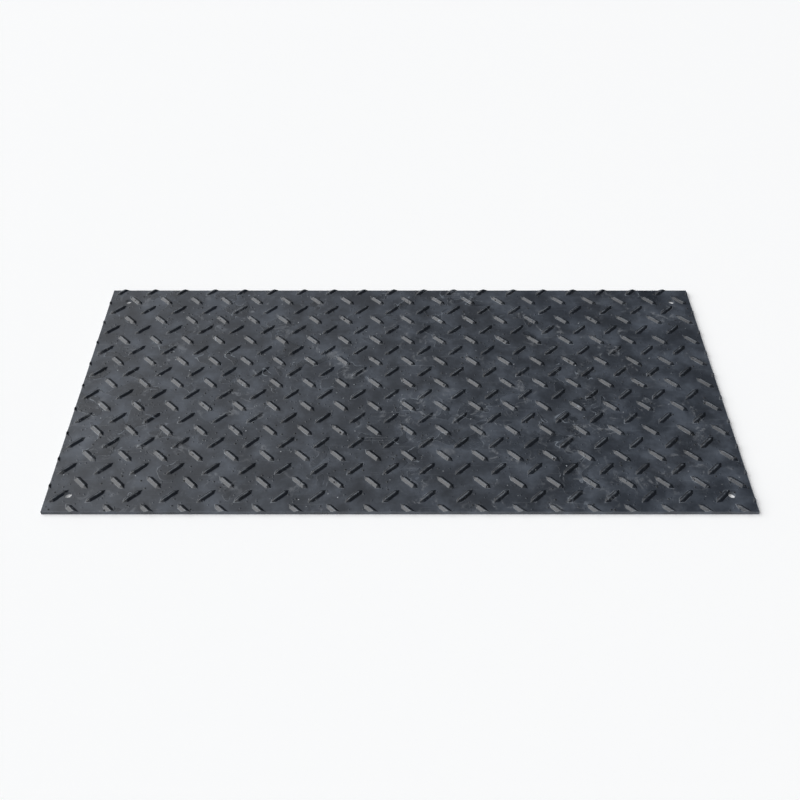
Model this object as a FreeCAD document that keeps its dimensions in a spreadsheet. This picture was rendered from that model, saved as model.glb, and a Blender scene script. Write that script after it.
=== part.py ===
import FreeCAD, Part
import os

import Sketcher
from FreeCAD import Vector

# Ground protection mat: one moulded sheet of high-density polyethylene that is
# laid on soft ground as a temporary track. Its underside is smooth. Its top has
# a tread of raised lugs in two slanting families. The sheet is moulded over
# size, sawn to its length and width, and drilled near its four corners.
#
# Frame: millimetres, X along the length, Y across the width, Z up. The origin is
# the middle of the smooth underside, and the mat lies flat with its tread up.

NODE = "ground_mat"
DOCUMENT = "GroundMat"

# Driving dimensions. Each one is set by itself, in the sheet named "sizes".
SIZES = {
    # The sheet, sawn to 8 ft by 4 ft by 1/2 in.
    "mat_length": 2438.4,
    "mat_width": 1219.2,
    "sheet_thickness": 12.7,
    # The tread: one lug of each family in each square of this pitch.
    "tread_pitch": 127.0,
    "lug_angle": 45.0,
    "lug_length": 85.0,
    "lug_width": 24.0,
    "lug_height": 6.35,
    "lug_point_length": 16.6,
    "lug_crest_width": 2.4,
    # The corner holes, for a rope or a joining pin.
    "hole_diameter": 25.4,
    "hole_inset": 76.2,
}

# Squares of the tread along each way of the mat: an even number, so that the
# tread is centred on it, and enough of them to run past its edges.
COLUMNS = "2 * ceil(sizes.mat_length / (2 * sizes.tread_pitch))"
ROWS = "2 * ceil(sizes.mat_width / (2 * sizes.tread_pitch))"

# The two lugs of a square stand a quarter of a pitch either side of its middle,
# both ways, so that each lug points at the middle of its neighbours.
FAMILY_OFFSET = 0.25


def make_sizes(doc):
    """Write the driving dimensions to a spreadsheet, one alias to a row."""
    sheet = doc.addObject("Spreadsheet::Sheet", "sizes")
    for row, (alias, value) in enumerate(SIZES.items(), start=1):
        sheet.set(f"A{row}", alias)
        sheet.set(f"B{row}", str(value))
        sheet.setAlias(f"B{row}", alias)
    doc.recompute()


def origin_part(body, role):
    """One of the body's own origin planes or axes."""
    return next(item for item in body.Origin.OriginFeatures if item.Role == role)


def flat_sketch(body, name, height=None):
    """A sketch that lies level, at a height above the underside."""
    sketch = body.newObject("Sketcher::SketchObject", name)
    sketch.AttachmentSupport = [(origin_part(body, "XY_Plane"), "")]
    sketch.MapMode = "FlatFace"
    if height:
        sketch.setExpression("AttachmentOffset.Base.z", height)
    return sketch


def bind(sketch, kind, first, first_point, second, second_point, name, size):
    """Add one named distance to a sketch and tie it to an expression."""
    index = sketch.addConstraint(
        Sketcher.Constraint(kind, first, first_point, second, second_point, 1.0)
    )
    sketch.renameConstraint(index, name)
    sketch.setExpression(f"Constraints.{name}", size)


def draw_loop(sketch, points):
    """Join points by straight lines into a closed loop, and return the first index."""
    first = sketch.GeometryCount
    corners = [Vector(x, y, 0) for x, y in points]
    for start, end in zip(corners, corners[1:] + corners[:1]):
        sketch.addGeometry(Part.LineSegment(start, end))
    count = len(corners)
    for side in range(count):
        following = first + (side + 1) % count
        sketch.addConstraint(
            Sketcher.Constraint("Coincident", first + side, 2, following, 1)
        )
    return first


def draw_rectangle(sketch, name, length, width):
    """A rectangle about the origin, its two sizes tied to expressions."""
    first = draw_loop(sketch, [(-2, -1), (2, -1), (2, 1), (-2, 1)])
    for side in (first, first + 2):
        sketch.addConstraint(Sketcher.Constraint("Horizontal", side))
    for side in (first + 1, first + 3):
        sketch.addConstraint(Sketcher.Constraint("Vertical", side))
    sketch.addConstraint(Sketcher.Constraint("Symmetric", first, 1, first + 1, 2, -1, 1))
    bind(sketch, "DistanceX", first, 1, first, 2, f"{name}_length", length)
    bind(sketch, "DistanceY", first + 1, 1, first + 1, 2, f"{name}_width", width)


def draw_holes(sketch):
    """Four equal circles, one near each corner of the mat."""
    circles = []
    for side, end in ((1, 1), (-1, 1), (-1, -1), (1, -1)):
        circle = Part.Circle(Vector(4 * side, 2 * end, 0), Vector(0, 0, 1), 1)
        circles.append(sketch.addGeometry(circle))
    first, second, third, fourth = circles
    for other in circles[1:]:
        sketch.addConstraint(Sketcher.Constraint("Equal", first, other))
    sketch.addConstraint(Sketcher.Constraint("Symmetric", first, 3, second, 3, -2))
    sketch.addConstraint(Sketcher.Constraint("Symmetric", second, 3, third, 3, -1))
    sketch.addConstraint(Sketcher.Constraint("Symmetric", third, 3, fourth, 3, -2))
    along = "sizes.mat_length - 2 * sizes.hole_inset"
    across = "sizes.mat_width - 2 * sizes.hole_inset"
    bind(sketch, "DistanceX", second, 3, first, 3, "holes_along", along)
    bind(sketch, "DistanceY", third, 3, second, 3, "holes_across", across)
    index = sketch.addConstraint(Sketcher.Constraint("Diameter", first, 2.0))
    sketch.renameConstraint(index, "hole_diameter")
    sketch.setExpression("Constraints.hole_diameter", "sizes.hole_diameter")


def draw_mat(sketch):
    """The mat seen from above: its sawn outline and its corner holes."""
    draw_rectangle(sketch, "mat", "sizes.mat_length", "sizes.mat_width")
    draw_holes(sketch)


def plain_sheet(doc):
    """The sheet without its tread, sawn to size and drilled."""
    body = doc.addObject("PartDesign::Body", "plain_sheet")
    sketch = flat_sketch(body, "mat_outline")
    draw_mat(sketch)
    sheet = body.newObject("PartDesign::Pad", "sheet")
    sheet.Profile = sketch
    sheet.setExpression("Length", "sizes.sheet_thickness")
    doc.recompute()
    return body


def tread_lug(doc, body, angle, offset):
    """One lug on top of the sheet, in the square at the tread's lowest X and Y.

    Its base has two parallel sides and two pointed ends. Two sloping sides and
    four sloping end faces rise from it to a narrow crest.
    """
    sketch = flat_sketch(body, "outline", "sizes.sheet_thickness")
    sketch.setExpression("AttachmentOffset.Rotation.Angle", f"({angle}) * 1 deg")
    for axis, count in (("x", COLUMNS), ("y", ROWS)):
        place = f"({offset} + 0.5 - {count} / 2) * sizes.tread_pitch"
        sketch.setExpression(f"AttachmentOffset.Base.{axis}", place)

    right = draw_loop(sketch, [(3, 0), (2, 1), (-2, 1), (-3, 0), (-2, -1), (2, -1)])
    upper, left, lower = right + 1, right + 3, right + 4
    points_level = Sketcher.Constraint("PointOnObject", right, 1, -1)
    points_even = Sketcher.Constraint("Symmetric", right, 1, left, 1, -2)
    sides_even = Sketcher.Constraint("Symmetric", upper, 1, upper, 2, -2)
    left_even = Sketcher.Constraint("Symmetric", lower, 1, upper, 2, -1)
    right_even = Sketcher.Constraint("Symmetric", lower, 2, upper, 1, -1)
    for constraint in (points_level, points_even, sides_even, left_even, right_even):
        sketch.addConstraint(constraint)
    bind(sketch, "DistanceX", left, 1, right, 1, "length", "sizes.lug_length")
    bind(sketch, "DistanceY", lower, 1, upper, 2, "width", "sizes.lug_width")
    bind(sketch, "DistanceX", upper, 1, right, 1, "point", "sizes.lug_point_length")

    prism = body.newObject("PartDesign::Pad", "prism")
    prism.Profile = sketch
    prism.setExpression("Length", "sizes.lug_height")
    doc.recompute()

    faces = list(enumerate(prism.Shape.Faces, start=1))
    upright = [f"Face{i}" for i, face in faces if abs(face.normalAt(0, 0).z) < 0.5]
    base = next(f"Face{i}" for i, face in faces if face.normalAt(0, 0).z < -0.5)
    slopes = body.newObject("PartDesign::Draft", "slopes")
    slopes.Base = (prism, upright)
    slopes.NeutralPlane = (prism, [base])
    slopes.setExpression(
        "Angle",
        "atan((sizes.lug_width - sizes.lug_crest_width) / (2 * sizes.lug_height))",
    )
    doc.recompute()


def repeat_lug(doc, body):
    """Repeat the body's lug in every square of the tread."""
    pattern = body.newObject("PartDesign::LinearPattern", "squares")
    pattern.TransformMode = "Whole shape"
    pattern.Direction = (origin_part(body, "X_Axis"), [""])
    pattern.Direction2 = (origin_part(body, "Y_Axis"), [""])
    pattern.setExpression("Occurrences", COLUMNS)
    pattern.setExpression("Occurrences2", ROWS)
    pattern.setExpression("Length", f"({COLUMNS} - 1) * sizes.tread_pitch")
    pattern.setExpression("Length2", f"({ROWS} - 1) * sizes.tread_pitch")
    pattern.Refine = False
    body.Tip = pattern
    doc.recompute()


def trim_lugs(doc, body):
    """Cut off what the saw takes outside the mat's edges, and what the drill takes."""
    sketch = flat_sketch(body, "waste")
    draw_rectangle(
        sketch,
        "waste",
        "sizes.mat_length + 2 * sizes.lug_length",
        "sizes.mat_width + 2 * sizes.lug_length",
    )
    draw_mat(sketch)
    trim = body.newObject("PartDesign::Pocket", "sawn_and_drilled")
    trim.Profile = sketch
    trim.Type = "ThroughAll"
    trim.Reversed = True
    trim.Refine = False
    doc.recompute()


def lug_family(doc, name, angle, offset):
    """All the lugs that slant one way, trimmed to the mat's edges and holes."""
    body = doc.addObject("PartDesign::Body", name)
    tread_lug(doc, body, angle, offset)
    repeat_lug(doc, body)
    trim_lugs(doc, body)
    return body


def mould(doc, sheet, families):
    """Join the lugs to the sheet, because they are moulded as one."""
    mat = doc.addObject("Part::Feature", NODE)
    mat.Label = NODE
    solid = sheet.Shape.fuse([family.Shape for family in families])
    mat.Shape = solid
    mat.Placement = FreeCAD.Placement()
    doc.recompute()
    return solid


def check(doc, solid):
    """Stop if a feature failed, or the mat isn't one valid solid of its stated size."""
    for item in doc.Objects:
        if "Invalid" in item.State or "Error" in item.State:
            raise RuntimeError(f"{item.Name} failed: {item.State}")
    if solid.isNull() or not solid.isValid() or len(solid.Solids) != 1:
        raise RuntimeError(f"{NODE} isn't one valid solid")
    sizes = doc.getObject("sizes")
    overall_height = sizes.sheet_thickness + sizes.lug_height
    stated = (sizes.mat_length, sizes.mat_width, overall_height)
    box = solid.BoundBox
    measured = (box.XLength, box.YLength, box.ZLength)
    if any(abs(size - aim) > 0.01 for size, aim in zip(measured, stated)):
        raise RuntimeError(f"{NODE} measures {measured}, and not {stated}")


def main():
    doc = FreeCAD.newDocument(DOCUMENT)
    make_sizes(doc)
    sheet = plain_sheet(doc)
    rising = lug_family(doc, "rising_lugs", "sizes.lug_angle", FAMILY_OFFSET)
    falling = lug_family(doc, "falling_lugs", "180 - sizes.lug_angle", -FAMILY_OFFSET)
    solid = mould(doc, sheet, [rising, falling])
    check(doc, solid)
    os.makedirs("parts", exist_ok=True)
    solid.exportStep(f"parts/{NODE}.step")


main()
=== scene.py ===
"""Looks of a ground protection mat: its sheet, tread, finish and studio."""

import math

import bmesh
import bpy
from bpy.props import FloatProperty, FloatVectorProperty, IntProperty, PointerProperty
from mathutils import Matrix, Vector


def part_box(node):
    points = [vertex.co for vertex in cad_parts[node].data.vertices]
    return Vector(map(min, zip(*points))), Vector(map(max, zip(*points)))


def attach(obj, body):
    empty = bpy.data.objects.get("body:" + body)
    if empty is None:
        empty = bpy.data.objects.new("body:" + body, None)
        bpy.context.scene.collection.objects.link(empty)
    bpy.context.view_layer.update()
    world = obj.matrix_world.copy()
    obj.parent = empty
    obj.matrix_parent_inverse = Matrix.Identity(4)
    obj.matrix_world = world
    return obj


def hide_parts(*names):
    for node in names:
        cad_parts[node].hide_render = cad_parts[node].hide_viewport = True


bl_info = {
    "name": "Ground Protection Mat",
    "version": (1, 0, 0),
    "blender": (4, 5, 0),
    "location": "3D View > Sidebar > Ground Mat",
    "description": "Models and finishes a moulded ground protection mat",
    "category": "Object",
}

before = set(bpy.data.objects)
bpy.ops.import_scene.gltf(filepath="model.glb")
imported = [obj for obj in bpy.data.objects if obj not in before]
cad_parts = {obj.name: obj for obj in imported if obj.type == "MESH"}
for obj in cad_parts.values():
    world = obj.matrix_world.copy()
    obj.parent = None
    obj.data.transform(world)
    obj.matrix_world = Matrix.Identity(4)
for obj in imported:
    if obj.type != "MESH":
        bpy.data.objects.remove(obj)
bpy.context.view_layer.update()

NODE = "ground_mat"
BODY = "root"
LOW, HIGH = (Vector(corner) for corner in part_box(NODE))

MM = 0.001
INCH = 25.4 * MM
NEAR = 0.01 * MM


# Helpers


def srgb(code, alpha=1.0):
    """Turn an sRGB hex colour to the linear values that sockets take."""
    channels = [int(code[i : i + 2], 16) / 255 for i in (1, 3, 5)]
    linear = [
        c / 12.92 if c <= 0.04045 else ((c + 0.055) / 1.055) ** 2.4 for c in channels
    ]
    return (*linear, alpha)


def per(millimetres):
    """The texture scale that repeats a pattern at a real size."""
    return 1000 / millimetres


def add_node(tree, kind, settings=None, links=None):
    """Add one node, set its fields and sockets, and link its inputs."""
    node = tree.nodes.new(kind)
    for key, value in (settings or {}).items():
        if isinstance(key, int) or key in node.inputs:
            node.inputs[key].default_value = value
        else:
            setattr(node, key, value)
    for key, source in (links or {}).items():
        tree.links.new(source, node.inputs[key])
    return node


def middle(item):
    """The mean point of a vertex, edge or face of an edit mesh."""
    if isinstance(item, bmesh.types.BMVert):
        return item.co.copy()
    return sum((vert.co for vert in item.verts), Vector()) / len(item.verts)


def choose(kind, test):
    """Select the vertices, edges or faces of the edit mesh that pass a test."""
    bpy.ops.mesh.select_mode(type=kind)
    bpy.ops.mesh.select_all(action="DESELECT")
    data = bpy.context.edit_object.data
    mesh = bmesh.from_edit_mesh(data)
    items = {"VERT": mesh.verts, "EDGE": mesh.edges, "FACE": mesh.faces}[kind]
    for item in items:
        if test(item):
            item.select_set(True)
    mesh.select_flush_mode()
    bmesh.update_edit_mesh(data)


def only(*objects):
    """Select these objects and no others, and make the first one active."""
    bpy.ops.object.select_all(action="DESELECT")
    for item in objects:
        item.select_set(True)
    bpy.context.view_layer.objects.active = objects[0]


def apply_modifier(item, kind, **settings):
    """Add a modifier to an object and apply it at once."""
    only(item)
    modifier = item.modifiers.new(kind.title(), kind)
    for key, value in settings.items():
        setattr(modifier, key, value)
    bpy.ops.object.modifier_apply(modifier=modifier.name)


# Sizes and colours


class MatSettings(bpy.types.PropertyGroup):
    """Sizes and colours of the mat that a user may change."""

    sheet_thickness: FloatProperty(
        name="Sheet thickness",
        description="Thickness of the sheet between the lugs",
        default=12.7 * MM,
        unit="LENGTH",
    )
    tread_pitch: FloatProperty(
        name="Tread pitch",
        description="Side of the square that holds one lug of each slant",
        default=5 * INCH,
        unit="LENGTH",
    )
    lug_length: FloatProperty(
        name="Lug length",
        description="Length of a lug's base from point to point",
        default=85 * MM,
        unit="LENGTH",
    )
    lug_width: FloatProperty(
        name="Lug width",
        description="Width of a lug's base",
        default=24 * MM,
        unit="LENGTH",
    )
    lug_point: FloatProperty(
        name="Lug point",
        description="Length of each pointed end of a lug's base",
        default=16.6 * MM,
        unit="LENGTH",
    )
    lug_crest: FloatProperty(
        name="Lug crest",
        description="Width of the crest along the top of a lug",
        default=2.4 * MM,
        unit="LENGTH",
    )
    lug_rounding: FloatProperty(
        name="Lug rounding",
        description="Width of the rounding at a lug's foot, corners and crest",
        default=1.0 * MM,
        unit="LENGTH",
    )
    hole_diameter: FloatProperty(
        name="Hole diameter",
        description="Diameter of the hole near each corner",
        default=1 * INCH,
        unit="LENGTH",
    )
    hole_inset: FloatProperty(
        name="Hole inset",
        description="Distance of each hole's centre from the two nearest edges",
        default=3 * INCH,
        unit="LENGTH",
    )
    hole_sides: IntProperty(
        name="Hole sides",
        description="Number of flats that make a hole look round",
        default=48,
        min=12,
    )
    arris: FloatProperty(
        name="Arris",
        description="Width of the worn corner along the sheet's edges and holes",
        default=0.8 * MM,
        unit="LENGTH",
    )
    floor_gap: FloatProperty(
        name="Floor gap",
        description="How far the studio floor lies under the mat, so that they don't mingle",
        default=0.3 * MM,
        unit="LENGTH",
    )
    plastic: FloatVectorProperty(
        name="Plastic",
        description="Colour of the clean moulded plastic",
        default=srgb("#171a20")[:3],
        subtype="COLOR",
        min=0,
        max=1,
    )
    dust: FloatVectorProperty(
        name="Dust",
        description="Colour of the dried dust on the mat",
        default=srgb("#838d9c")[:3],
        subtype="COLOR",
        min=0,
        max=1,
    )


# The sheet and its tread


def lug_square(look):
    """One lug, lengthways along X, in the middle of its own square of the face."""
    top = look.sheet_thickness
    rise = HIGH.z - top
    side = look.tread_pitch / math.sqrt(2)
    half_length = look.lug_length / 2
    half_width = look.lug_width / 2
    half_crest = look.lug_crest / 2
    shoulder = half_length - look.lug_point
    slant = math.atan2(half_width, look.lug_point)
    run = half_width - half_crest
    crest_tip = half_length - run / math.sin(slant)
    crest_shoulder = shoulder - run * math.tan(slant / 2)
    foot = (0, 0, top)
    quarter = side / 4

    bpy.ops.mesh.primitive_plane_add(size=side, location=foot)
    lug = bpy.context.active_object
    bpy.ops.object.transform_apply(location=True)
    bpy.ops.object.mode_set(mode="EDIT")

    # A rectangle in the middle, then its two short ends drawn out to points.
    bpy.ops.mesh.inset(thickness=quarter)
    widen = (shoulder / quarter, half_width / quarter, 1)
    bpy.ops.transform.resize(value=widen, center_override=foot)
    choose(
        "EDGE",
        lambda edge: abs(abs(middle(edge).x) - shoulder) < NEAR
        and abs(middle(edge).y) < NEAR,
    )
    bpy.ops.mesh.subdivide(number_cuts=1)
    choose("VERT", lambda vert: abs(vert.co.y) < NEAR)
    stretch = (half_length / shoulder, 1, 1)
    bpy.ops.transform.resize(value=stretch, center_override=foot)
    choose("EDGE", lambda edge: (middle(edge) - Vector(foot)).length < NEAR)
    bpy.ops.mesh.dissolve_edges(use_verts=False)

    # The lug, raised straight up and then drawn in to its crest.
    choose("FACE", lambda face: len(face.verts) == 6)
    bpy.ops.mesh.extrude_region_move(TRANSFORM_OT_translate={"value": (0, 0, rise)})
    choose("VERT", lambda vert: vert.co.z > top + NEAR and abs(vert.co.y) < NEAR)
    draw_in = (crest_tip / half_length, 1, 1)
    bpy.ops.transform.resize(value=draw_in, center_override=foot)
    choose("VERT", lambda vert: vert.co.z > top + NEAR and abs(vert.co.y) > NEAR)
    draw_in = (crest_shoulder / shoulder, half_crest / half_width, 1)
    bpy.ops.transform.resize(value=draw_in, center_override=foot)

    # Mould radii at its foot, corners and crest.
    within = side / 2 - NEAR
    choose("EDGE", lambda edge: all(abs(vert.co.y) < within for vert in edge.verts))
    bpy.ops.mesh.bevel(
        offset=look.lug_rounding, segments=1, affect="EDGES", clamp_overlap=True
    )
    bpy.ops.object.mode_set(mode="OBJECT")
    return lug


def turned_copy(source, turn, place):
    """A copy of a lug's square, turned about Z and moved into the tread."""
    only(source)
    bpy.ops.object.duplicate()
    copy = bpy.context.active_object
    copy.rotation_euler.z = turn
    copy.location = place
    bpy.ops.object.transform_apply(location=True, rotation=True)
    return copy


def tread_face(look):
    """The whole treaded face: two lugs of opposite slant, repeated each way."""
    pitch = look.tread_pitch
    columns = 2 * math.ceil(HIGH.x / pitch) + 2
    rows = 2 * math.ceil(HIGH.y / pitch) + 2
    start = Vector(((1 - columns) / 2 * pitch, (1 - rows) / 2 * pitch, 0))
    offset = Vector((pitch / 4, pitch / 4, 0))

    lug = lug_square(look)
    rising = turned_copy(lug, math.radians(45), start + offset)
    falling = turned_copy(lug, math.radians(-45), start - offset)
    bpy.data.objects.remove(lug)
    only(rising, falling)
    bpy.ops.object.join()
    for count, step in ((columns, (pitch, 0, 0)), (rows, (0, pitch, 0))):
        apply_modifier(
            rising,
            "ARRAY",
            count=count,
            use_relative_offset=False,
            use_constant_offset=True,
            constant_offset_displace=step,
        )
    return rising


def saw_outline():
    """Saw the face to the mat's length and width."""
    bpy.ops.mesh.select_all(action="SELECT")
    bpy.ops.mesh.remove_doubles(threshold=NEAR)
    for corner, normal in (
        (LOW, (-1, 0, 0)),
        (LOW, (0, -1, 0)),
        (HIGH, (1, 0, 0)),
        (HIGH, (0, 1, 0)),
    ):
        bpy.ops.mesh.select_all(action="SELECT")
        bpy.ops.mesh.bisect(plane_co=corner, plane_no=normal, clear_outer=True)


def close_sheet(look):
    """Give the sawn face its thickness and its smooth underside."""
    choose("EDGE", lambda edge: edge.is_boundary)
    down = {"value": (0, 0, -look.sheet_thickness)}
    bpy.ops.mesh.extrude_edges_move(TRANSFORM_OT_translate=down)
    bpy.ops.transform.resize(value=(1, 1, 0), center_override=(0, 0, LOW.z))
    bpy.ops.mesh.edge_face_add()
    bpy.ops.mesh.select_all(action="SELECT")
    bpy.ops.mesh.normals_make_consistent(inside=False)


def wear_arrises(look):
    """Take the sharp corner off every edge that the saw or the drill left."""
    sharp = math.radians(50)
    choose("EDGE", lambda edge: edge.calc_face_angle(0) > sharp)
    bpy.ops.mesh.bevel(
        offset=look.arris, segments=1, affect="EDGES", clamp_overlap=True
    )


def drill_corners(mat, look):
    """Drill the four corner holes."""
    drills = []
    for side in (-1, 1):
        for end in (-1, 1):
            centre = (
                side * (HIGH.x - look.hole_inset),
                end * (HIGH.y - look.hole_inset),
                HIGH.z / 2,
            )
            bpy.ops.mesh.primitive_cylinder_add(
                vertices=look.hole_sides,
                radius=look.hole_diameter / 2,
                depth=3 * HIGH.z,
                location=centre,
            )
            drills.append(bpy.context.active_object)
    only(*drills)
    bpy.ops.object.join()
    bpy.ops.object.transform_apply(location=True)
    apply_modifier(mat, "BOOLEAN", operation="DIFFERENCE", object=drills[0])
    bpy.data.objects.remove(drills[0])


def paint_faces(mat, look):
    """Give the tread, the cut edges and the underside their own finishes."""
    for finish in (tread_plastic(look), sawn_plastic(look), smooth_plastic()):
        mat.data.materials.append(finish)
    tread, sawn, smooth = range(3)
    for face in mat.data.polygons:
        if face.normal.z > 0.3:
            face.material_index = tread
        elif face.normal.z < -0.9:
            face.material_index = smooth
        else:
            face.material_index = sawn


# Finishes


def new_material(name):
    """An empty material and its node tree."""
    material = bpy.data.materials.new(name)
    material.use_nodes = True
    material.node_tree.nodes.clear()
    return material, material.node_tree


def own_place(tree):
    """The piece's own coordinates, in metres."""
    return add_node(tree, "ShaderNodeTexCoord").outputs["Object"]


def noise(tree, place, size_mm, detail=3.0, rough=0.5, twist=0.0):
    """Cloudy noise with features of a real size."""
    settings = {
        "Scale": per(size_mm),
        "Detail": detail,
        "Roughness": rough,
        "Distortion": twist,
    }
    links = {"Vector": place}
    return add_node(tree, "ShaderNodeTexNoise", settings, links).outputs["Fac"]


def fade(tree, value, low, high, out_low=0.0, out_high=1.0):
    """Map a value smoothly from one range to another."""
    settings = {
        "interpolation_type": "SMOOTHSTEP",
        "From Min": low,
        "From Max": high,
        "To Min": out_low,
        "To Max": out_high,
    }
    links = {"Value": value}
    return add_node(tree, "ShaderNodeMapRange", settings, links).outputs["Result"]


def combine(tree, operation, first, second):
    """One sum on two values, each a socket or a number."""
    settings, links = {"operation": operation}, {}
    for index, value in enumerate((first, second)):
        (settings if isinstance(value, (int, float)) else links)[index] = value
    return add_node(tree, "ShaderNodeMath", settings, links).outputs[0]


def blend(tree, amount, first, second):
    """Mix two colours, each a socket or a plain colour."""
    settings, links = {"data_type": "RGBA"}, {"Factor": amount}
    for key, value in ((6, first), (7, second)):
        (settings if isinstance(value, tuple) else links)[key] = value
    return add_node(tree, "ShaderNodeMix", settings, links).outputs[2]


def mix_value(tree, amount, first, second):
    """Mix two values, each a socket or a number."""
    settings, links = {}, {0: amount}
    for key, value in ((2, first), (3, second)):
        (settings if isinstance(value, (int, float)) else links)[key] = value
    return add_node(tree, "ShaderNodeMix", settings, links).outputs[0]


def stretched(tree, place, x_mm, y_mm, z_mm, turn=0.0):
    """Coordinates in which a cell of the pattern measures the given sizes."""
    settings = {
        "vector_type": "POINT",
        "Rotation": (0, 0, turn),
        "Scale": (per(x_mm), per(y_mm), per(z_mm)),
    }
    links = {"Vector": place}
    return add_node(tree, "ShaderNodeMapping", settings, links).outputs["Vector"]


def edge_distance(tree, place):
    """How far a point of the mat is from the nearest of its four sides."""
    parts = add_node(tree, "ShaderNodeSeparateXYZ", links={"Vector": place})
    inward = []
    for axis, half in (("X", HIGH.x), ("Y", HIGH.y)):
        outward = combine(tree, "ABSOLUTE", parts.outputs[axis], 0.0)
        inward.append(combine(tree, "SUBTRACT", half, outward))
    return combine(tree, "MINIMUM", *inward)


def scratches(tree, place, length_mm, width_mm, turn, share):
    """Thin, nearly straight lines; a smaller share leaves fewer of them."""
    stretched_place = stretched(tree, place, length_mm, width_mm, length_mm, turn)
    settings = {"Scale": 1.0, "Detail": 1.0, "Distortion": 0.15}
    links = {"Vector": stretched_place}
    lines = add_node(tree, "ShaderNodeTexNoise", settings, links).outputs["Fac"]
    return fade(tree, lines, 0.72 - share, 0.78 - share)


def dots(tree, place, gap_mm, radius_mm, share):
    """Round spots of a real radius, one in some of the cells of a real size."""
    cells = add_node(
        tree,
        "ShaderNodeTexVoronoi",
        {"Scale": per(gap_mm), "Randomness": 1.0},
        {"Vector": place},
    )
    edge = radius_mm / gap_mm
    round_spot = fade(tree, cells.outputs["Distance"], edge, edge * 0.4)
    parts = add_node(
        tree, "ShaderNodeSeparateColor", links={"Color": cells.outputs["Color"]}
    )
    kept = combine(tree, "LESS_THAN", parts.outputs["Red"], share)
    size = mix_value(tree, parts.outputs["Green"], 0.3, 1.0)
    return combine(tree, "MULTIPLY", combine(tree, "MULTIPLY", round_spot, kept), size)


def bump(tree, height, depth_mm, normal=None):
    """Relief of a real depth, laid over any relief below it."""
    settings = {"Strength": 1.0, "Distance": depth_mm * MM}
    links = {"Height": height}
    if normal:
        links["Normal"] = normal
    return add_node(tree, "ShaderNodeBump", settings, links).outputs["Normal"]


def finish_material(tree, color, rough, normal, ior=1.54):
    """Join a finish's colour, roughness and relief in its shader."""
    shader = add_node(
        tree,
        "ShaderNodeBsdfPrincipled",
        {"IOR": ior},
        {"Base Color": color, "Roughness": rough, "Normal": normal},
    )
    add_node(
        tree, "ShaderNodeOutputMaterial", links={"Surface": shader.outputs["BSDF"]}
    )


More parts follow.
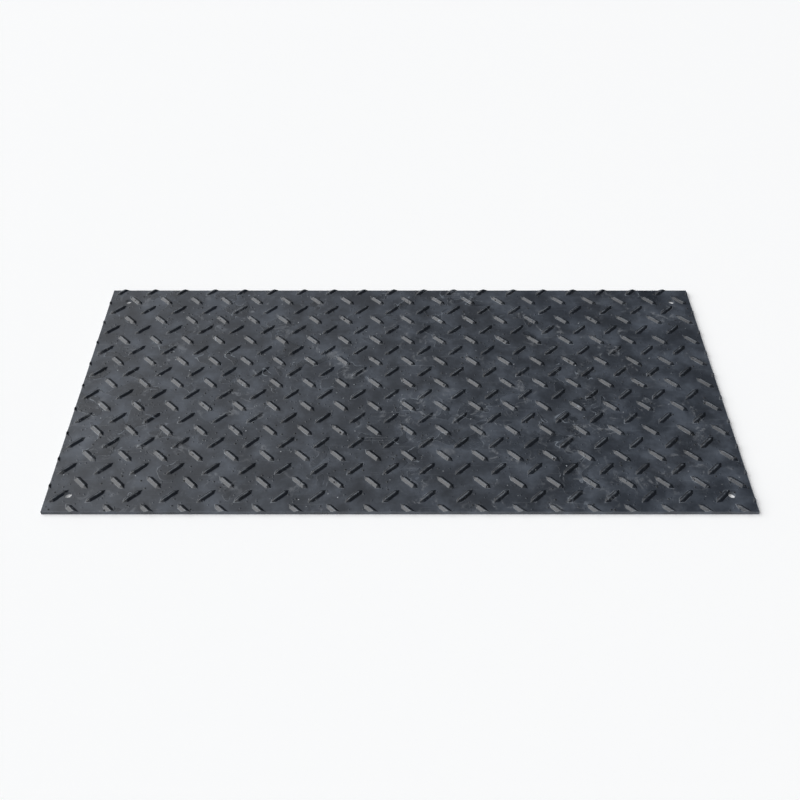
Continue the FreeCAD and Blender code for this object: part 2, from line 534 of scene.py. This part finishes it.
def tread_plastic(look):
    """Black high-density polyethylene as moulded: a dense, waxy charcoal.

    It has been out in the wet. Pools of film lie shiny and dark on it, their rims painted
    pale as a highlight. Between them are dried dust with painted sheen, drops, crumbs, pale
    specks partly painted as glints, a painted glint round each lug's foot, and scuffed
    crests.
    """
    material, tree = new_material("tread_plastic")
    place = own_place(tree)
    plastic = (*look.plastic, 1.0)
    dust = (*look.dust, 1.0)

    cloud = noise(tree, place, 300, detail=4)
    color = blend(tree, fade(tree, cloud, 0.3, 0.7), plastic, srgb("#1c2129"))

    # Pale haze on the level sheet, less on the lugs' slopes: part dried dust, part painted
    # sheen.
    parts = add_node(tree, "ShaderNodeSeparateXYZ", links={"Vector": place}).outputs
    height = parts["Z"]
    top = look.sheet_thickness
    level = fade(tree, height, top + 1.2 * MM, top + 0.2 * MM, 0.15, 1.0)
    dust_and_sheen_haze = noise(tree, place, 120, detail=6, rough=0.65)
    dusty = combine(tree, "MULTIPLY", fade(tree, dust_and_sheen_haze, 0.35, 0.78, 0.07, 0.33), level)
    color = blend(tree, dusty, color, dust)
    rough = mix_value(tree, dusty, mix_value(tree, level, 0.2, 0.33), 0.62)

    # Film of water, most of it to the back left: pools about a hand across, with thin
    # rims painted pale as a highlight.
    back_left = combine(tree, "SUBTRACT", parts["Y"], parts["X"])
    lean = combine(tree, "MULTIPLY", back_left, 0.08)
    region = combine(tree, "ADD", noise(tree, place, 450, detail=2), lean)
    region = fade(tree, region, 0.46, 0.56)
    pools = noise(tree, place, 110, detail=2, rough=0.5, twist=0.6)
    wet = combine(tree, "MULTIPLY", fade(tree, pools, 0.575, 0.585), region)
    color = blend(tree, combine(tree, "MULTIPLY", wet, 0.3), color, srgb("#0f1216"))
    rough = mix_value(tree, wet, rough, 0.24)
    relief = bump(tree, wet, 0.4)
    # The rims are painted pale: a painted highlight of each pool's edge.
    painted_rim_highlight = combine(
        tree,
        "MULTIPLY",
        fade(tree, pools, 0.567, 0.575),
        fade(tree, pools, 0.585, 0.577),
    )
    broken = fade(tree, noise(tree, place, 42, detail=4), 0.52, 0.62)
    painted_rim_highlight = combine(tree, "MULTIPLY", painted_rim_highlight, combine(tree, "MULTIPLY", broken, region))
    color = blend(tree, combine(tree, "MULTIPLY", painted_rim_highlight, 0.6), color, srgb("#8b939d"))

    # Drops that stand on the dry plastic.
    drops = dots(tree, place, gap_mm=16, radius_mm=4.5, share=0.35)
    rough = mix_value(tree, drops, rough, 0.1)
    relief = bump(tree, drops, 1.0, relief)

    # Pale smears of dried mud, grainy, a few fingers wide.
    smears = noise(tree, place, 55, detail=8, rough=0.75, twist=0.8)
    spots = fade(tree, noise(tree, place, 260, detail=2), 0.42, 0.62)
    mud = combine(tree, "MULTIPLY", fade(tree, smears, 0.54, 0.66), spots)
    color = blend(tree, combine(tree, "MULTIPLY", mud, 0.6), color, srgb("#7f8389"))
    rough = mix_value(tree, mud, rough, 0.85)

    # Dark crumbs of soil, and pale specks: part grit, part painted glints of drops.
    soil = dots(tree, place, gap_mm=26, radius_mm=5.0, share=0.6)
    color = blend(tree, soil, color, srgb("#0b0c0d"))
    rough = mix_value(tree, soil, rough, 0.9)
    grit_and_painted_glints = dots(tree, place, gap_mm=36, radius_mm=3.6, share=0.45)
    color = blend(tree, grit_and_painted_glints, color, srgb("#a3a8ae"))
    relief = bump(tree, combine(tree, "ADD", soil, grit_and_painted_glints), 1.5, relief)

    # A pale broken line painted round the foot of each lug: a painted glint of the water
    # line there.
    foot = combine(
        tree,
        "MULTIPLY",
        fade(tree, height, top + 0.05 * MM, top + 0.3 * MM),
        fade(tree, height, top + 1.0 * MM, top + 0.5 * MM),
    )
    foot = combine(tree, "MULTIPLY", foot, broken)
    color = blend(tree, combine(tree, "MULTIPLY", foot, 0.5), color, srgb("#8a9098"))

    # The crests carry the traffic, so they are rubbed paler and finely lined.
    crest = fade(tree, height, HIGH.z - 1.6 * MM, HIGH.z - 0.2 * MM)
    rubbed = fade(tree, noise(tree, place, 30, detail=5), 0.35, 0.65, 0.1, 0.75)
    worn = combine(tree, "MULTIPLY", crest, rubbed)
    color = blend(tree, worn, color, srgb("#666c74"))
    rough = mix_value(tree, worn, rough, 0.5)

    lines = combine(
        tree,
        "MAXIMUM",
        scratches(tree, place, length_mm=260, width_mm=2.2, turn=0.5, share=0.0),
        scratches(tree, place, length_mm=190, width_mm=1.8, turn=-0.9, share=0.0),
    )
    color = blend(tree, combine(tree, "MULTIPLY", lines, 0.35), color, srgb("#7b8188"))
    relief = bump(tree, lines, -0.15, relief)
    # A pale line painted along the sheet's four sides: a painted highlight where the worn
    # corner catches light.
    arris = fade(tree, edge_distance(tree, place), 1.6 * MM, 0.8 * MM, 0, 0.6)
    color = blend(tree, arris, color, srgb("#6f7781"))

    # Fine moulded grain, drawn at 2.5 mm so that it shows.
    relief = bump(tree, noise(tree, place, 2.5, detail=2), 0.04, relief)
    finish_material(tree, color, rough, relief)
    return material


def sawn_plastic(look):
    """The same plastic where it was sawn: matt and paler, ribbed where the blade shook."""
    material, tree = new_material("sawn_plastic")
    place = own_place(tree)
    parts = add_node(tree, "ShaderNodeSeparateXYZ", links={"Vector": place})
    along = combine(tree, "ADD", parts.outputs["X"], parts.outputs["Y"])
    line = add_node(tree, "ShaderNodeCombineXYZ", links={"X": along}).outputs["Vector"]
    tooth_mm = 9.0
    bands_at_scale_one = 20 / (2 * math.pi)
    ribs = add_node(
        tree,
        "ShaderNodeTexWave",
        {
            "Scale": per(tooth_mm) / bands_at_scale_one,
            "Distortion": 9.0,
            "Detail": 3.0,
            "Detail Scale": 0.7,
        },
        {"Vector": line},
    ).outputs["Fac"]
    shaken = fade(tree, noise(tree, line, 380, detail=2), 0.48, 0.58, 0.1, 0.8)
    ragged = fade(tree, noise(tree, place, 14, detail=4, rough=0.7), 0.38, 0.6)
    # The grooves between the saw ribs are painted darker: painted shade in them.
    shaded_grooves = combine(tree, "MULTIPLY", fade(tree, ribs, 0.45, 0.1), shaken)
    shaded_grooves = combine(tree, "MULTIPLY", shaded_grooves, ragged)
    color = blend(tree, noise(tree, place, 45, detail=5), srgb("#31363d"), srgb("#494f58"))
    color = blend(tree, shaded_grooves, color, srgb("#1a1d21"))
    # Nicks dented into the sawn face and painted darker: painted shade in the dents.
    shaded_nicks = dots(tree, place, gap_mm=26, radius_mm=4.0, share=0.4)
    color = blend(tree, shaded_nicks, color, srgb("#121417"))
    dusty = fade(tree, noise(tree, place, 60, detail=5), 0.4, 0.7, 0, 0.3)
    color = blend(tree, dusty, color, (*look.dust, 1.0))
    rough = mix_value(tree, dusty, 0.5, 0.75)
    relief = bump(tree, shaded_grooves, -0.5)
    relief = bump(tree, shaded_nicks, -0.8, relief)
    finish_material(tree, color, rough, relief)
    return material


def smooth_plastic():
    """The same plastic against the flat mould plate: smooth, slate grey with bloom.

    The bloom is wiped into pale streaks along the mat. Between them are rubbed
    dark places, clusters of pale drops, long fine scratches and a few crumbs.
    """
    material, tree = new_material("smooth_plastic")
    place = own_place(tree)
    cloud = noise(tree, place, 350, detail=4)
    color = blend(tree, fade(tree, cloud, 0.3, 0.7), srgb("#5d6673"), srgb("#75808f"))
    streak_place = stretched(tree, place, x_mm=900, y_mm=75, z_mm=900)
    settings = {"Scale": 1.0, "Detail": 4.0, "Roughness": 0.5, "Distortion": 0.8}
    links = {"Vector": streak_place}
    streaks = add_node(tree, "ShaderNodeTexNoise", settings, links).outputs["Fac"]
    patches = noise(tree, place, 240, detail=6, rough=0.6)
    bloom = combine(
        tree, "MULTIPLY", fade(tree, streaks, 0.48, 0.72), fade(tree, patches, 0.4, 0.62)
    )
    color = blend(tree, combine(tree, "MULTIPLY", bloom, 0.8), color, srgb("#a8b1be"))
    rough = mix_value(tree, bloom, 0.28, 0.6)
    rubbed = fade(tree, streaks, 0.36, 0.28, 0, 0.7)
    color = blend(tree, rubbed, color, srgb("#343a44"))
    lines = combine(
        tree,
        "MAXIMUM",
        scratches(tree, place, length_mm=420, width_mm=2.4, turn=0.06, share=0.01),
        scratches(tree, place, length_mm=300, width_mm=2.0, turn=-0.25, share=0.0),
    )
    color = blend(tree, combine(tree, "MULTIPLY", lines, 0.6), color, srgb("#a3abb7"))
    relief = bump(tree, lines, -0.15)
    drops = dots(tree, place, gap_mm=12, radius_mm=3.2, share=0.35)
    clusters = fade(tree, noise(tree, place, 320, detail=2), 0.5, 0.62)
    drops = combine(tree, "MULTIPLY", drops, clusters)
    color = blend(tree, combine(tree, "MULTIPLY", drops, 0.7), color, srgb("#b4bbc5"))
    rough = mix_value(tree, drops, rough, 0.12)
    relief = bump(tree, drops, 0.6, relief)
    soil = dots(tree, place, gap_mm=60, radius_mm=4.0, share=0.3)
    color = blend(tree, soil, color, srgb("#101113"))
    finish_material(tree, color, rough, relief)
    return material


def pale_floor():
    """A matt pale floor with soft shadows, clear from below to show the underside."""
    material, tree = new_material("pale_floor")
    settings = {
        "Base Color": srgb("#eeeff0"),
        "Roughness": 0.9,
        "Emission Color": srgb("#ffffff"),
        "Emission Strength": 0.18,
    }
    paint = add_node(tree, "ShaderNodeBsdfPrincipled", settings).outputs["BSDF"]
    clear = add_node(tree, "ShaderNodeBsdfTransparent").outputs["BSDF"]
    below = add_node(tree, "ShaderNodeNewGeometry").outputs["Backfacing"]
    links = {0: below, 1: paint, 2: clear}
    surface = add_node(tree, "ShaderNodeMixShader", links=links).outputs["Shader"]
    add_node(tree, "ShaderNodeOutputMaterial", links={"Surface": surface})
    return material


# Stage


def soft_sun(name, azimuth, elevation, spread, strength):
    """An even, distant light with soft shadows, from an angle about the mat."""
    data = bpy.data.lights.new(name, "SUN")
    data.energy = strength
    data.angle = math.radians(spread)
    lamp = bpy.data.objects.new(name, data)
    bpy.context.collection.objects.link(lamp)
    lamp.rotation_euler = (-heading(azimuth, elevation)).to_track_quat("-Z", "Y").to_euler()
    return lamp


def studio_world():
    """White to the camera. As a light it is bright to the upper left, dim to the right.

    Its lower half gives back what a pale floor would, also to the underside.
    """
    world = bpy.data.worlds.new("studio")
    bpy.context.scene.world = world
    world.use_nodes = True
    tree = world.node_tree
    background = tree.nodes["Background"]
    background.inputs["Color"].default_value = srgb("#ffffff")
    ray = add_node(tree, "ShaderNodeTexCoord").outputs["Generated"]
    parts = add_node(tree, "ShaderNodeSeparateXYZ", links={"Vector": ray})
    left, right = 1.3, 0.05
    horizon, overhead = 0.55, 1.1
    from_floor = 0.8
    across = fade(tree, parts.outputs["X"], -0.55, 0.2, left, right)
    upward = fade(tree, parts.outputs["Z"], 0.25, 0.8, horizon, overhead)
    sky = combine(tree, "MULTIPLY", across, upward)
    below = combine(tree, "LESS_THAN", parts.outputs["Z"], 0.0)
    level = mix_value(tree, below, sky, from_floor)
    seen = add_node(tree, "ShaderNodeLightPath").outputs["Is Camera Ray"]
    strength = mix_value(tree, seen, level, 1.0)
    tree.links.new(strength, background.inputs["Strength"])


def heading(azimuth, elevation):
    """The direction of a camera or lamp seen from the mat, from its two angles."""
    turn, tilt = math.radians(azimuth), math.radians(elevation)
    level = math.cos(tilt)
    return Vector((math.sin(turn) * level, -math.cos(turn) * level, math.sin(tilt)))


def studio_camera(azimuth, elevation, distance, lens, aim):
    """A camera that looks at a point from an angle about the mat."""
    data = bpy.data.cameras.new("camera")
    data.lens = lens
    camera = bpy.data.objects.new("camera", data)
    bpy.context.collection.objects.link(camera)
    away = heading(azimuth, elevation)
    camera.location = Vector(aim) + distance * away
    camera.rotation_euler = (-away).to_track_quat("-Z", "Y").to_euler()
    bpy.context.scene.camera = camera
    return camera


# Operators


class MAT_OT_mould_sheet(bpy.types.Operator):
    """Model the mat's sheet and tread, and give them their finishes"""

    bl_idname = "ground_mat.mould_sheet"
    bl_label = "Mould the Mat"
    bl_options = {"REGISTER", "UNDO"}

    def execute(self, context):
        look = context.scene.ground_mat
        bpy.ops.object.select_all(action="DESELECT")
        mat = tread_face(look)
        only(mat)
        bpy.ops.object.mode_set(mode="EDIT")
        saw_outline()
        close_sheet(look)
        bpy.ops.object.mode_set(mode="OBJECT")
        drill_corners(mat, look)
        only(mat)
        bpy.ops.object.mode_set(mode="EDIT")
        wear_arrises(look)
        bpy.ops.object.mode_set(mode="OBJECT")
        mat.name = "mat_sheet"
        mat.data.name = "mat_sheet"
        paint_faces(mat, look)
        only(mat)
        bpy.ops.object.shade_smooth_by_angle(angle=math.radians(50))
        apply_modifier(mat, "WEIGHTED_NORMAL", weight=90, keep_sharp=True)
        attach(mat, BODY)
        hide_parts(NODE)
        return {"FINISHED"}


class MAT_OT_set_stage(bpy.types.Operator):
    """Set up the floor, the studio light and the camera"""

    bl_idname = "ground_mat.set_stage"
    bl_label = "Set the Stage"
    bl_options = {"REGISTER", "UNDO"}

    def execute(self, context):
        look = context.scene.ground_mat
        under = LOW.z - look.floor_gap
        bpy.ops.mesh.primitive_plane_add(size=40, location=(0, 0, under))
        floor = context.active_object
        floor.name = "floor"
        floor.data.materials.append(pale_floor())
        for ray in ("diffuse", "glossy", "transmission", "shadow"):
            setattr(floor, f"visible_{ray}", False)
        soft_sun("key", azimuth=-95, elevation=40, spread=62, strength=1.95)
        studio_world()
        studio_camera(azimuth=0, elevation=44, distance=3.8, lens=45, aim=(0, -0.05, 0))
        return {"FINISHED"}


class MAT_PT_panel(bpy.types.Panel):
    """Sidebar panel of the ground protection mat"""

    bl_label = "Ground Mat"
    bl_idname = "MAT_PT_panel"
    bl_space_type = "VIEW_3D"
    bl_region_type = "UI"
    bl_category = "Ground Mat"

    def draw(self, context):
        look = context.scene.ground_mat
        for name in look.bl_rna.properties.keys():
            if name not in ("rna_type", "name"):
                self.layout.prop(look, name)
        for operator in (MAT_OT_mould_sheet, MAT_OT_set_stage):
            self.layout.operator(operator.bl_idname)


CLASSES = (MatSettings, MAT_OT_mould_sheet, MAT_OT_set_stage, MAT_PT_panel)


def register():
    for item in CLASSES:
        bpy.utils.register_class(item)
    bpy.types.Scene.ground_mat = PointerProperty(type=MatSettings)


def unregister():
    del bpy.types.Scene.ground_mat
    for item in reversed(CLASSES):
        bpy.utils.unregister_class(item)


def main():
    register()
    bpy.ops.ground_mat.mould_sheet()
    bpy.ops.ground_mat.set_stage()
    bpy.context.scene.view_settings.view_transform = "Standard"


if __name__ == "__main__":
    main()
